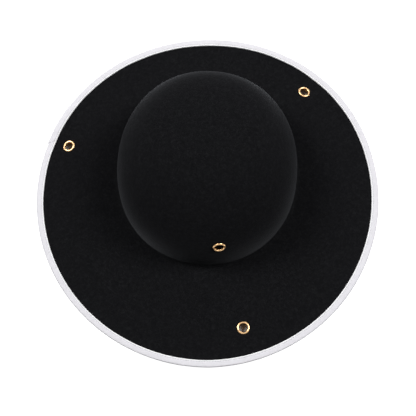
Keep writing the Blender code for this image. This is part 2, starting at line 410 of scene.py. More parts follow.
CROWN_ROWS = 84
COVE_ROWS = 7
BRIM_ROWS = 42
EDGE_ROWS = 2
UNDER_ROWS = 22
INNER_ROWS = 40
ROWS_AZIMUTH = math.radians(45.0)    # where the rows lie evenly apart
PRESS_DEPTH = 0.00022                # how deep a rim presses the felt
PRESS_FADE = 0.0030
PRESS_REACH = 0.008                  # skin further than this from the rim's plane stays
CUTTER_SIDES = 48
CUTTER_TURN = 0.031                  # keeps the pins' sides off the felt's own edges
CUTTER_ENDS = np.array([0.006, -0.008])    # how far the pins reach out of the skin and in


def felt_points(shape, columns):
    """Rows of points from the crown's top over the edge and back inside, columns round it."""
    azimuth = turns(columns)[None, :]

    def stretch(surface, rows, inset, backwards=False):
        """Rows of one surface, evenly apart along it at the rows' azimuth."""
        shares = even_shares(lambda share: surface(ROWS_AZIMUTH, share, inset), rows)
        if backwards:
            shares = shares[::-1]
        return surface(azimuth, shares[:, None], inset)

    wall = shape.wall
    outside = [
        stretch(shape.crown, CROWN_ROWS, 0.0),
        stretch(shape.cove, COVE_ROWS, 0.0)[1:],
        stretch(shape.brim, BRIM_ROWS, 0.0)[1:],
    ]
    depth = np.linspace(0.0, wall, EDGE_ROWS + 1)[1:-1, None]
    edge = shape.brim(azimuth, 1.0, depth)
    inside = [
        stretch(shape.brim, UNDER_ROWS, wall, True),
        stretch(shape.cove, COVE_ROWS, wall, True)[1:],
        stretch(shape.crown, INNER_ROWS, wall, True)[1:],
    ]
    return np.concatenate(outside), edge, np.concatenate(inside)


def press_under_rims(points, shape, rim_radius, side):
    """Lowers the felt under each rim by a smooth step that fades beyond the rim's edge."""
    for seat in shape.seats():
        offset = points - seat.place
        height = offset @ seat.out
        radial = np.sqrt(np.maximum((offset ** 2).sum(-1) - height ** 2, 0.0))
        near = np.abs(height) < PRESS_REACH
        share = 1.0 - smooth_step((radial - rim_radius) / PRESS_FADE)
        points = points - side * (PRESS_DEPTH * share * near)[..., None] * seat.out
    return points


def felt_mesh(shape, sizes):
    """Outer skin, edge and inner skin as closed rings, with a point above and below the top."""
    outer, edge, inner = felt_points(shape, sizes.columns)
    outer = press_under_rims(outer, shape, sizes.rim_radius, 1.0)
    inner = press_under_rims(inner, shape, sizes.rim_radius, -1.0)
    rings = np.concatenate([outer[1:], edge, inner[:-1]])
    count, columns = rings.shape[:2]
    points = np.concatenate([outer[0, :1], rings.reshape(-1, 3), inner[-1, :1]])
    quads = grid_quads(count, columns, first=1)
    top = fan(0, 1, columns)
    tail = fan(len(points) - 1, 1 + (count - 1) * columns, columns, flip=True)
    return mesh_of("felt_body_shell", points, quads, np.concatenate([top, tail]))


def punch_holes(mesh, shape, radius):
    """Cuts a round hole through the felt at each eyelet, with one closed pin for each."""
    blocks, quads, caps = [], [], []
    for number, seat in enumerate(shape.seats()):
        ring = radius * circle_about(seat, turns(CUTTER_SIDES) + CUTTER_TURN)
        wall = seat.place + ring[None] + CUTTER_ENDS[:, None, None] * seat.out
        ends = seat.place + CUTTER_ENDS[:, None] * seat.out
        first = number * (2 * CUTTER_SIDES + 2)
        centre = first + 2 * CUTTER_SIDES
        blocks += [wall.reshape(-1, 3), ends]
        quads.append(grid_quads(2, CUTTER_SIDES, first=first))
        caps.append(fan(centre, first, CUTTER_SIDES))
        caps.append(fan(centre + 1, first + CUTTER_SIDES, CUTTER_SIDES, flip=True))
    pins = mesh_of("pins", np.concatenate(blocks), np.concatenate(quads), np.concatenate(caps))
    cutter = bpy.data.objects.new("pins", pins)
    body = bpy.data.objects.new("felt_blank", mesh)
    for thing in (cutter, body):
        bpy.context.scene.collection.objects.link(thing)
    cut = body.modifiers.new("holes", 'BOOLEAN')
    cut.operation = 'DIFFERENCE'
    cut.solver = 'EXACT'
    cut.object = cutter
    evaluated = body.evaluated_get(bpy.context.evaluated_depsgraph_get())
    punched = bpy.data.meshes.new_from_object(evaluated)
    for thing in (cutter, body):
        bpy.data.objects.remove(thing)
    punched.name = "felt_body_shell"
    return punched


# Tape binding

LAP_START = math.radians(151.6)      # where the tape's own beginning lies under the lap
LAP_END = math.radians(165.7)        # where its end lies on top, both at the lip
BIAS = 1.0                           # the ends' corners are cut on the bias: along per across
LIP_ARC = 0.0025                     # length across the tape that its square cut lip takes
LAP_BUILD = 0.0008                   # how far the lap stands out at the lip
LAP_RISE = 0.0005                    # and how far it rises on the faces
RAMP_LENGTH = 0.0050                 # the climb onto the lap
RAMP_LEAD = 0.0004                   # which is over this far before once round
HEM_IN = 0.0017                      # stitch line from the tape's inner edge
HEM_ROUND = 0.0006                   # how far in the hem's round reaches
HELD_FROM = 0.0002                   # past the stitch line, where the lap is held down
HELD_FADE = 0.0006
HELD_SHARE = 0.80                    # of the lap's rise
LIP_FROM = 0.0006                    # where the lip's curve starts, in from the felt's edge
LIP_POWER = 2.6                      # superellipse power of the lip
GROOVE_DEPTH = 0.00038
GROOVE_WIDTH = 0.00050
GROOVE_LEVEL = 0.80                  # mean share of the groove's depth
GROOVE_BEAT = 0.20                   # more at a needle hole, less between two
PUCKER_HEIGHT = 0.00010
PUCKER_WAVES = [(410.0, 0.0), (733.0, 2.0)]    # radians a metre along the tape, and phase
PUCKER_BEAT = 0.6                    # gathers between stitches, against the longer waves
PUCKER_PLACE = 0.0055                # where they are fullest, in from the felt's edge
PUCKER_WIDTH = 0.002
TAPE_GAP = 0.00006                   # between the tape and what it lies on
LEAST_TAPE = 0.00005                 # least thickness that a groove leaves
LENGTH_STEPS = 1290
HEM_POINTS = 5
FLAT_POINTS = 16
LIP_POINTS = 13

# Points of the outer line that the inner line has too, from a hem to the lip's crest: the hem's
# ends, three about the stitch line, the flat's middle and end, and three on the lip
INNER_HALF = [0, 4, 6, 7, 8, 13, 20, 21, 23, 26]

# The sewn tape's unevenness: turn about the brim in degrees, how far its fold stands out from
# the even edge, and how much narrower it shows than its full width, in metres
UNEVEN_TAPE = np.array([
    (-180.0, -0.0003, 0.0003), (-157.0, -0.0003, 0.0006), (-127.0, -0.0005, 0.0007),
    (-113.0, -0.0003, 0.0005), (-99.0, 0.0002, 0.0005), (-85.0, 0.0007, 0.0005),
    (-72.0, 0.0004, 0.0005), (-58.0, 0.0, 0.0004), (-37.0, -0.0003, 0.0003),
    (-15.0, -0.0005, 0.0002), (0.0, -0.0001, 0.0001), (16.0, 0.0001, 0.0003),
    (32.0, 0.0009, 0.0003), (48.0, 0.0013, -0.0001), (63.0, 0.0009, -0.0001),
    (79.0, 0.0006, -0.0002), (94.0, 0.0007, -0.0006), (109.0, 0.0009, -0.0004),
    (124.0, 0.0013, -0.0003), (140.0, 0.0013, -0.0002), (155.0, 0.0001, 0.0006),
    (171.0, -0.0004, 0.0006), (180.0, -0.0003, 0.0003),
])


def tape_section(shape, sizes):
    """Half sections as arrays of (distance in from the felt's edge, height over its face).

    The outer line runs along the top flange from a round hem, over a lip that is half a
    superellipse, and back below; the inner line follows the felt. Same count, same order.
    """
    build = sizes.tape_wall
    flange = sizes.tape_flange - build
    middle = shape.middle
    half = (2.0 * build + shape.wall) / 2.0
    hem = np.radians(np.linspace(0.0, 90.0, HEM_POINTS))
    hem_in = flange - HEM_ROUND + HEM_ROUND * np.cos(hem)
    hem_up = TAPE_GAP + (build - TAPE_GAP) * np.sin(hem)
    flat_in = np.linspace(flange - HEM_ROUND, LIP_FROM, FLAT_POINTS + 1)[1:]
    turn = np.radians(np.linspace(90.0, -90.0, LIP_POINTS + 2))[1:-1]
    power = 2.0 / LIP_POWER
    lip_in = LIP_FROM - (build + LIP_FROM) * np.cos(turn) ** power
    lip_up = middle + half * np.sign(np.sin(turn)) * np.abs(np.sin(turn)) ** power
    top_in = np.concatenate([hem_in, flat_in])
    top_up = np.concatenate([hem_up, np.full(FLAT_POINTS, build)])
    outer_in = np.concatenate([top_in, lip_in, top_in[::-1]])
    outer_up = np.concatenate([top_up, lip_up, 2.0 * middle - top_up[::-1]])
    inner_in = np.clip(outer_in, -TAPE_GAP, flange - TAPE_GAP)
    on_face = np.where(outer_up > middle, TAPE_GAP, -shape.wall - TAPE_GAP)
    round_edge = np.clip(outer_up, -shape.wall - TAPE_GAP, TAPE_GAP)
    inner_up = np.where(outer_in > 0.0, on_face, round_edge)
    return outer_in, outer_up, inner_in, inner_up


def stitch_line(sizes):
    """Where the needle goes: distance in from the felt's edge."""
    return sizes.tape_flange - sizes.tape_wall - HEM_IN


def even_pitch(shape, sizes):
    """The stitch length that goes a whole number of times round the edge."""
    once = shape.once_round()
    return once / round(once / sizes.stitch_pitch)


def tape_length(shape):
    """Once round the felt's edge and on over the lap."""
    return shape.once_round() + (LAP_END - LAP_START) * shape.edge_radius


def end_skew(across):
    """The ends run square over the lip and slant back beyond it: -bias * (|across| - lip arc)."""
    return -BIAS * np.maximum(np.abs(across) - LIP_ARC, 0.0)


def tape_relief(shape, sizes, along, inward):
    """Height taken off the tape's face: the stitched groove, deepest at each needle hole."""
    along = along % shape.once_round()
    beat = np.cos(2.0 * math.pi * along / even_pitch(shape, sizes))
    groove = np.exp(-((inward - stitch_line(sizes)) / GROOVE_WIDTH) ** 2)
    swell = sum(0.5 * np.sin(along * wave + phase) for wave, phase in PUCKER_WAVES)
    gathers = PUCKER_BEAT * beat * np.exp(-((inward - PUCKER_PLACE) / PUCKER_WIDTH) ** 2)
    depth = GROOVE_DEPTH * groove * (GROOVE_LEVEL - GROOVE_BEAT * beat)
    return depth + PUCKER_HEIGHT * (swell + gathers) * (1.0 - groove)


def lap_share(own_length, shape):
    """0 on the first layer, 1 where the tape has climbed over its own beginning."""
    climbed = own_length - shape.once_round() + RAMP_LENGTH + RAMP_LEAD
    return smooth_step(climbed / RAMP_LENGTH)


def tape_points(shape, sizes, along, inward, height, outside=True):
    """Carries (distance in, height) along the felt's edge; along is metres from the lap."""
    turn = LAP_START + along / shape.edge_radius
    around = np.degrees((turn + math.pi) % (2.0 * math.pi)) - 180.0
    stand = np.interp(around, UNEVEN_TAPE[:, 0], UNEVEN_TAPE[:, 1])
    trim = np.interp(around, UNEVEN_TAPE[:, 0], UNEVEN_TAPE[:, 2])
    full = sizes.tape_flange - sizes.tape_wall
    inward = np.where(inward > 0.0, inward * (1.0 - trim / full), inward)
    moved = inward - stand
    inward = moved if outside else np.where(inward > 0.0, moved, np.minimum(moved, -TAPE_GAP))
    azimuth = shape.azimuth_of_edge(turn)
    share = 1.0 - inward / shape.brim_width(azimuth)
    face = shape.brim(azimuth, np.minimum(share, 1.0), 0.0)
    out = np.stack([np.cos(turn), np.sin(turn)], axis=-1)
    beyond = np.maximum(-inward, 0.0)[..., None]
    x_y = face[..., :2] + beyond * out
    return stack(x_y[..., 0], x_y[..., 1], np.maximum(face[..., 2] + height, 0.0))


def across_tape(outer_in, outer_up):
    """Length across the tape at each point of its section, zero at the lip."""
    steps = np.hypot(np.diff(outer_in), np.diff(outer_up))
    across = np.concatenate([[0.0], np.cumsum(steps)])
    lip = across[np.argmin(outer_in)]
    return across - lip


def stitch_across(shape, sizes):
    """Length across the tape from its lip to the stitch line."""
    outer_in, outer_up, _, _ = tape_section(shape, sizes)
    half = len(outer_in) // 2
    across = across_tape(outer_in, outer_up)
    return -np.interp(-stitch_line(sizes), -outer_in[:half], across[:half])


def lapped_section(shape, sizes, own, along):
    """The half sections at each length, less the relief and raised by the lap.

    The lap moves the faces up and the lip out; the inner line moves onto the first layer, and
    stays below the outer line by the least tape.
    """
    outer_in, outer_up, inner_in, inner_up = tape_section(shape, sizes)
    middle = shape.middle
    side = np.where(outer_up > middle, 1.0, -1.0)
    beyond = np.clip((LIP_FROM - outer_in) / (sizes.tape_wall + LIP_FROM), 0.0, 1.0)
    flatness = 1.0 - beyond
    cover = lap_share(own, shape)
    held = smooth_step((outer_in - stitch_line(sizes) - HELD_FROM) / HELD_FADE)
    lap = cover * (1.0 - HELD_SHARE * held)
    relief = tape_relief(shape, sizes, along, outer_in[None, :])
    outer_h = outer_up + side * (lap * LAP_RISE - relief * flatness)
    layer = sizes.tape_wall + TAPE_GAP
    inner_h = inner_up + side * cover * layer * flatness
    inner_h = middle + side * np.minimum(side * (inner_h - middle),
                                         side * (outer_h - middle) - LEAST_TAPE * flatness)
    outer_a = outer_in - lap * LAP_BUILD * beyond
    inner_a = inner_in - cover * layer * beyond
    return outer_a, outer_h, inner_a, inner_h


def end_cap(count, kept, columns):
    """Squares from the outer line to the inner one at the strip's first end, and wedges.

    A wedge lies where two neighbours on the outer line face the same inner point.
    """
    facing = np.round(np.interp(np.arange(count), kept, np.arange(len(kept)))).astype(int)
    strip = np.arange(count - 1)
    inner_here = columns - 1 - facing[:-1]
    inner_next = columns - 1 - facing[1:]
    squares = np.stack([strip, strip + 1, inner_next, inner_here], axis=-1)
    shared = inner_here == inner_next
    return squares[~shared], squares[shared][:, :3]


def tape_mesh(shape, sizes):
    """One strip from its beginning under the lap, once round, and on over it to its end."""
    outer_in, outer_up, _, _ = tape_section(shape, sizes)
    across = across_tape(outer_in, outer_up)
    own = np.linspace(0.0, tape_length(shape), LENGTH_STEPS)[:, None]
    along = own + end_skew(across)[None, :]
    outer_a, outer_h, inner_a, inner_h = lapped_section(shape, sizes, own, along)
    half = np.array(INNER_HALF)
    last_point = len(across) - 1
    kept = np.concatenate([half, [last_point // 2], last_point - half[::-1]])
    outer_line = tape_points(shape, sizes, along, outer_a, outer_h)
    inner_line = tape_points(shape, sizes, along[:, kept], inner_a[:, kept], inner_h[:, kept],
                             outside=False)
    loop = np.concatenate([outer_line, inner_line[:, ::-1]], axis=1)
    rows, columns = loop.shape[:2]
    squares, wedges = end_cap(len(across), kept, columns)
    last = (rows - 1) * columns
    quads = np.concatenate([grid_quads(rows, columns)[:, ::-1], squares, squares[:, ::-1] + last])
    wedges = np.concatenate([wedges, wedges[:, ::-1] + last])
    mesh = mesh_of("brim_binding_tape", loop.reshape(-1, 3), quads, wedges)
    u = np.concatenate([along, along[:, kept[::-1]]], axis=1)
    v = np.broadcast_to(np.concatenate([across, across[kept[::-1]]])[None, :], (rows, columns))
    add_uv(mesh, np.stack([u, v], axis=-1).reshape(-1, 2))
    return mesh


# Stitches, between needle holes at half a pitch and one and a half

THREAD_RADIUS = 0.00021
THREAD_TAPER = 0.45                  # share by which a stitch is thinner at its ends
THREAD_SEAT = 0.70                   # share of the groove's depth that the thread lies down
THREAD_CLEAR = 1.05                  # radii that its middle keeps above the resting surface
STITCH_FROM = 0.58                   # shares of the pitch: where a stitch starts
STITCH_LONG = 0.84                   # and how long it is
ARCH_HEIGHT = 0.00016
ARCH_SINK = 0.00009                  # how far its ends go in
SEAM_STOP = 0.0012                   # the seam ends this far before the tape's end
STITCH_POINTS = 6
STITCH_SIDES = 6
STITCH_ENDS = np.array([[0, 1, 2, 5], [2, 3, 4, 5]])    # squares that close a ring of six


def stitch_rings(shape, sizes, along, lapped, share, side):
    """Rings of points along the stitches of one face: a circle carried along a low arch."""
    arch = ARCH_HEIGHT * (1.0 - (2.0 * share - 1.0) ** 4) - ARCH_SINK
    level = sizes.tape_wall + lapped * LAP_RISE - GROOVE_DEPTH * THREAD_SEAT
    height = level + arch if side > 0.0 else -shape.wall - level - arch
    centre = tape_points(shape, sizes, along, np.full_like(along, stitch_line(sizes)), height)
    centre[..., 2] = np.maximum(centre[..., 2], THREAD_RADIUS * THREAD_CLEAR)
    ahead = unit(np.gradient(centre, axis=1))
    beside = unit(np.cross(ahead, np.array([0.0, 0.0, side])))
    over = np.cross(beside, ahead)
    turn = turns(STITCH_SIDES)
    thick = THREAD_RADIUS * (1.0 - THREAD_TAPER * (2.0 * share - 1.0) ** 4)
    ring = (np.cos(turn)[None, None, :, None] * beside[:, :, None, :]
            + np.sin(turn)[None, None, :, None] * over[:, :, None, :])
    return centre[:, :, None, :] + thick[None, :, None, None] * ring


def stitch_mesh(shape, sizes):
    """Each stitch is a short arched thread, in one row on the upper face and one below."""
    once = shape.once_round()
    pitch = even_pitch(shape, sizes)
    count = int(round(once / pitch))
    share = np.linspace(0.0, 1.0, STITCH_POINTS)
    along = (np.arange(count)[:, None] + STITCH_FROM + STITCH_LONG * share) * pitch
    skew = end_skew(LIP_ARC + stitch_line(sizes))
    second_layer = along + once - skew
    before_end = second_layer < tape_length(shape) - SEAM_STOP
    climbing = lap_share(along - skew, shape) * (along > once / 2.0)
    lapped = np.maximum(before_end * lap_share(second_layer, shape), climbing)
    blocks, quads = [], []
    per = STITCH_POINTS * STITCH_SIDES
    for layer, side in enumerate((1.0, -1.0)):
        rings = stitch_rings(shape, sizes, along, lapped, share, side)
        blocks.append(rings.reshape(-1, 3))
        first = layer * count * per + np.arange(count)[:, None, None] * per
        quads.append((first + grid_quads(STITCH_POINTS, STITCH_SIDES)[None]).reshape(-1, 4))
        for row, flip in ((0, -1), (STITCH_POINTS - 1, 1)):
            corner = row * STITCH_SIDES + STITCH_ENDS[:, ::flip]
            quads.append((first + corner[None]).reshape(-1, 4))
    return mesh_of("binding_stitches_thread", np.concatenate(blocks), np.concatenate(quads))


# Eyelets

RIM_HEIGHT = 0.0010
BACK_RIM_RADIUS = 0.0057
BACK_RIM_HEIGHT = 0.0007
BARREL_WALL = 0.00035
RIM_GAP = 0.00005                    # between the rim and the pressed felt
SHEET_EDGE = 0.0002                  # the brass sheet where it turns under at a rim
THROAT_START = 0.0004                # the barrel starts this far below the rim's inner side
FILLET = 0.0001                      # where the barrel runs into a rim
BACK_SHADE_RATE = 1.4                   # how much faster the painted shade deepens away from the back rim
EYELET_SIDES = 96
RIM_POINTS = 21
BARREL_POINTS = 7
BACK_RIM_POINTS = 15


def eyelet_section(shape, sizes, in_crown):
    """Closed half section (radius, height): a rolled rim, the barrel and a flatter back rim.

    Both rims are half ellipses; the sheet's own edge turns under at the rim. The third array
    is 1 on the rims' crests and 0 in the barrel; the brass is painted darker towards 0, as painted
    shade of the hollow.
    """
    throat = sizes.hole_radius
    barrel = throat + BARREL_WALL
    hollow = BACK_RIM_RADIUS ** 2 / shape.half_width if in_crown else 0.0
    back = -shape.wall - hollow - CLEARANCE
    seat = -PRESS_DEPTH + RIM_GAP
    turn = np.radians(np.linspace(0.0, 180.0, RIM_POINTS))
    middle = (sizes.rim_radius + throat) / 2.0
    half = (sizes.rim_radius - throat) / 2.0
    rim_r = middle + half * np.cos(turn)
    rim_h = seat + SHEET_EDGE + (RIM_HEIGHT + CLEARANCE - SHEET_EDGE) * np.sin(turn)
    barrel_h = np.linspace(rim_h[-1] - THROAT_START, back + SHEET_EDGE, BARREL_POINTS)
    barrel_r = np.full(BARREL_POINTS, throat)
    back_turn = np.radians(np.linspace(180.0, 360.0, BACK_RIM_POINTS))
    back_middle = (BACK_RIM_RADIUS + throat) / 2.0
    back_half = (BACK_RIM_RADIUS - throat) / 2.0
    back_r = back_middle + back_half * np.cos(back_turn)
    back_h = back + BACK_RIM_HEIGHT * np.sin(back_turn)
    outside_r = [barrel + FILLET, barrel, barrel, barrel + FILLET, sizes.rim_radius - SHEET_EDGE]
    outside_h = [back, back + SHEET_EDGE, seat - FILLET, seat, seat]
    radius = np.concatenate([rim_r, barrel_r, back_r, outside_r])
    height = np.concatenate([rim_h, barrel_h, back_h, outside_h])
    below = np.minimum(rim_h.max() - height, BACK_SHADE_RATE * (height - back_h.min()))
    return radius, height, np.clip(1.0 - below / (RIM_HEIGHT + CLEARANCE), 0.0, 1.0)


def eyelet_mesh(name, shape, sizes, seat):
    """The section turned about the eyelet's axis."""
    radius, height, unshaded_share = eyelet_section(shape, sizes, seat.in_crown)
    ring = circle_about(seat, turns(EYELET_SIDES))
    points = seat.place + radius[None, :, None] * ring[:, None, :]
    points = points + height[None, :, None] * seat.out
    rows, columns = points.shape[:2]
    quads = grid_quads(rows + 1, columns) % (rows * columns)
    mesh = mesh_of(name, points.reshape(-1, 3), quads)
    steps = np.concatenate([[0.0], np.cumsum(np.hypot(np.diff(radius), np.diff(height)))])
    section = np.broadcast_to(np.stack([steps, unshaded_share], axis=-1), (rows, columns, 2))
    add_uv(mesh, section.reshape(-1, 2))
    return mesh


# Shader nodes


def feed(tree, entry, value):
    """Links an output to the input, or sets the input's own value."""
    if isinstance(value, bpy.types.NodeSocket):
        tree.links.new(value, entry)
    else:
        entry.default_value = value


def feed_by_name(tree, made, **values):
    """Feeds a node's inputs by name, with spaces written as _."""
    for key, value in values.items():
        feed(tree, made.inputs[key.replace("_", " ")], value)


def node(tree, kind, settings=None, **values):
    """Adds a node, sets its properties and feeds its inputs; returns its outputs."""
    made = tree.nodes.new(kind)
    for key, value in (settings or {}).items():
        setattr(made, key, value)
    feed_by_name(tree, made, **values)
    return made.outputs


def math_node(tree, operation, *values, kind="ShaderNodeMath"):
    """A Math or Vector Math node on outputs or numbers, in order; returns its output."""
    made = tree.nodes.new(kind)
    made.operation = operation
    for entry, value in zip(made.inputs, values):
        feed(tree, entry, value)
    return made.outputs[0]


def map_range(tree, value, low, high, to_low=0.0, to_high=1.0):
    """Takes low and high to their new values, and holds what lies beyond; returns the output."""
    return node(tree, "ShaderNodeMapRange", Value=value, From_Min=low, From_Max=high,
                To_Min=to_low, To_Max=to_high)["Result"]


def blend_colours(tree, share, low, high):
    """Mixes two colours, or outputs that carry one; returns the output."""
    low, high = (end if isinstance(end, bpy.types.NodeSocket) else (*end, 1.0)
                 for end in (low, high))
    return node(tree, "ShaderNodeMix", {"data_type": 'RGBA'}, Factor=share, A=low,
                B=high)["Result"]


def toned(colour, share):
    """The colour with each part times the share, at most 1."""
    return tuple(min(1.0, share * part) for part in colour)


def bump(tree, height, distance, strength):
    """Tilts the normal by the height's slope; returns the normal."""
    return node(tree, "ShaderNodeBump", Height=height, Distance=distance,
                Strength=strength)["Normal"]


def new_material(name):
    """A material with its node tree and its shader."""
    material = bpy.data.materials.new(name)
    material.use_nodes = True
    return material, material.node_tree, material.node_tree.nodes["Principled BSDF"]


def new_group(name, inputs, outputs):
    """A node group of float sockets behind a vector: its tree, what comes in, and its result."""
    group = bpy.data.node_groups.new(name, "ShaderNodeTree")
    group.interface.new_socket("Vector", in_out='INPUT', socket_type='NodeSocketVector')
    for label, default in inputs.items():
        socket = group.interface.new_socket(label, in_out='INPUT', socket_type='NodeSocketFloat')
        socket.default_value = default
    for label in outputs:
        group.interface.new_socket(label, in_out='OUTPUT', socket_type='NodeSocketFloat')
    return group, group.nodes.new("NodeGroupInput").outputs, group.nodes.new("NodeGroupOutput")


def shared_group(name, make):
    """The named node group, made the first time it is asked for."""
    return bpy.data.node_groups.get(name) or make(name)


def use_group(tree, group, **values):
    """Places the group in a material with its own values; returns its outputs."""
    return node(tree, "ShaderNodeGroup", {"node_tree": group}, **values)


# Effects that materials share

FIBRE_WANDER = (0.0045, 0.0045, 0.0045)    # how far a fibre bends aside
FIBRE_DRAWN = (1.0, 0.16, 0.7)             # shares of the noise's scale that draw it out
FIBRE_SHARE = 0.7                          # of the height; the mottling has the rest

# Axis and degrees by which each layer of fibres is turned
FIBRE_LAYERS = [
    ((0.1, 0.2, 1.0), 20.0),
    ((0.5, 0.1, 1.0), 84.0),
    ((1.0, 0.5, 0.7), 139.0),
]

CROSSING_SHARE = 0.25    # of the weave's height: threads over and under
RIB_SHARE = 0.6          # the crosswise ribs
CLOUD_SHARE = 0.35       # and the slow unevenness on top


def fibre_group(name):
    """Matted wool: three layers of drawn out, wandering noise that cross, over soft mottling."""
    group, given, result = new_group(name, {"Fibres": 900.0, "Mottle": 60.0},
                                     ["Fibre", "Mottle", "Height"])
    wander = node(group, "ShaderNodeTexNoise", Vector=given["Vector"], Scale=300.0, Detail=2.0)
    bent = math_node(group, 'MULTIPLY_ADD', wander["Color"], FIBRE_WANDER, given["Vector"],
                     kind="ShaderNodeVectorMath")
    layers = []
    for axis, degrees in FIBRE_LAYERS:
        turned = node(group, "ShaderNodeVectorRotate", {"rotation_type": 'AXIS_ANGLE'},
                      Vector=bent, Axis=axis, Angle=math.radians(degrees))["Vector"]
        drawn = math_node(group, 'MULTIPLY', turned, FIBRE_DRAWN, kind="ShaderNodeVectorMath")
        layers.append(node(group, "ShaderNodeTexNoise", Vector=drawn, Scale=given["Fibres"],
                           Detail=3.0, Roughness=0.65)["Fac"])
    fibre = layers[0]
    for layer in layers[1:]:
        fibre = math_node(group, 'MAXIMUM', fibre, layer)
    mottle = node(group, "ShaderNodeTexNoise", Vector=given["Vector"], Scale=given["Mottle"],
                  Detail=4.0, Roughness=0.75)["Fac"]
    height = math_node(group, 'ADD', math_node(group, 'MULTIPLY', fibre, FIBRE_SHARE),
                       math_node(group, 'MULTIPLY', mottle, 1.0 - FIBRE_SHARE))
    feed_by_name(group, result, Fibre=fibre, Mottle=mottle, Height=height)
    return group


def weave_group(name):
    """Plain weave: two sets of rounded threads, one along u and one along v, over and under."""
    group, given, result = new_group(name, {"Threads": 2600.0, "Ribs": 5200.0},
                                     ["Weave", "Cloud", "Height"])
    parts = node(group, "ShaderNodeSeparateXYZ", Vector=given["Vector"])
    warp = math_node(group, 'SINE', math_node(group, 'MULTIPLY', parts["Y"], given["Threads"]))
    weft = math_node(group, 'SINE', math_node(group, 'MULTIPLY', parts["X"], given["Ribs"]))
    crossing = math_node(group, 'MULTIPLY', warp, weft)
    ribs = math_node(group, 'ABSOLUTE', weft)
    weave = math_node(group, 'ADD', math_node(group, 'MULTIPLY', crossing, CROSSING_SHARE),
                      math_node(group, 'MULTIPLY', ribs, RIB_SHARE))
    cloud = node(group, "ShaderNodeTexNoise", Vector=given["Vector"], Scale=240.0, Detail=4.0,
                 Roughness=0.6)["Fac"]
    height = math_node(group, 'ADD', weave, math_node(group, 'MULTIPLY', cloud, CLOUD_SHARE))
    feed_by_name(group, result, Weave=weave, Cloud=cloud, Height=height)
    return group


# Materials

# Where the painted highlight on the tape's inner edge starts and where it is full
HIGHLIGHT_START = 0.0001              # past the stitch line
HIGHLIGHT_FULL = 0.0005
PULL_SHADE = 0.6                     # how much shade a pulled stitch gives
SHADED_BRASS = (0.52, 0.40, 0.26)         # shares of the brass's colour in its painted shade, in the barrel and under the rims


def felt_material(colours, fibre):
    """Black wool felt: a dark ground with lighter fibre ends, and a short soft nap."""
    material, tree, shader = new_material("wool_felt_black")
    place = node(tree, "ShaderNodeTexCoord")["Object"]
    matted = use_group(tree, fibre, Vector=place, Fibres=1300.0, Mottle=260.0)
    tone = math_node(tree, 'MULTIPLY', map_range(tree, matted["Fibre"], 0.48, 0.78),
                     map_range(tree, matted["Mottle"], 0.34, 0.66, 0.15, 1.85))
    feed_by_name(tree, shader, Base_Color=blend_colours(tree, tone, colours.felt, colours.fibre),
                 Roughness=0.95, Specular_IOR_Level=0.0, Sheen_Weight=0.10, Sheen_Roughness=0.36,
                 Sheen_Tint=(0.90, 0.93, 1.0, 1.0),
                 Normal=bump(tree, matted["Height"], 0.0004, 0.5))
    return material


def tape_material(colours, weave, stitch_at, pitch):
    """White cotton tape: fine crosswise ribs, a painted highlight on its inner edge, and painted
    shade along the stitches.

    stitch_at is the length across the tape from its lip to the stitch line.
    """
    material, tree, shader = new_material("cotton_tape_white")
    place = node(tree, "ShaderNodeUVMap")["UV"]
    cloth = use_group(tree, weave, Vector=place, Threads=6500.0, Ribs=4200.0)
    tone = math_node(tree, 'ADD', map_range(tree, cloth["Weave"], -0.2, 0.8, 0.0, 0.6),
                     map_range(tree, cloth["Cloud"], 0.35, 0.65, 0.0, 0.4))
    body = blend_colours(tree, tone, toned(colours.tape, 0.92), toned(colours.tape, 1.04))
    parts = node(tree, "ShaderNodeSeparateXYZ", Vector=place)
    from_lip = math_node(tree, 'ABSOLUTE', parts["Y"])
    # Painted highlight: the strip past the stitch line is lighter, where the raised hem catches
    # the light.
    at_edge = map_range(tree, from_lip, stitch_at + HIGHLIGHT_START, stitch_at + HIGHLIGHT_FULL)
    highlighted = blend_colours(tree, at_edge, body, colours.edge_highlight)
    # Painted shade along the stitch line: the tape is darker where the threads lie in their
    # groove.
    beat = math_node(tree, 'COSINE',
                     math_node(tree, 'MULTIPLY', parts["X"], 2.0 * math.pi / pitch))
    off_line = math_node(tree, 'ABSOLUTE', math_node(tree, 'SUBTRACT', from_lip, stitch_at))
    stitch_shade = math_node(tree, 'MULTIPLY', map_range(tree, off_line, 0.0001, 0.0006, 1.0, 0.0),
                       map_range(tree, beat, -0.6, 0.4))
    colour = blend_colours(tree, math_node(tree, 'MULTIPLY', stitch_shade, PULL_SHADE), highlighted,
                           toned(colours.tape, 0.74))
    feed_by_name(tree, shader, Base_Color=colour, Roughness=0.85, Specular_IOR_Level=0.25,
                 Sheen_Weight=0.10, Sheen_Roughness=0.50,
                 Normal=bump(tree, cloth["Height"], 0.00012, 0.6))
    return material


def thread_material(colours, fibre):
    """Spun cotton thread, slightly fuzzy, its white greyed as painted shade of the groove it lies
    in.
    """
    material, tree, shader = new_material("cotton_thread_white")
    place = node(tree, "ShaderNodeTexCoord")["Object"]
    matted = use_group(tree, fibre, Vector=place, Fibres=4000.0, Mottle=300.0)
    colour = blend_colours(tree, matted["Fibre"], toned(colours.thread, 0.85), colours.thread)
    feed_by_name(tree, shader, Base_Color=colour, Roughness=0.80,
                 Normal=bump(tree, matted["Height"], 0.00006, 0.5))
    return material


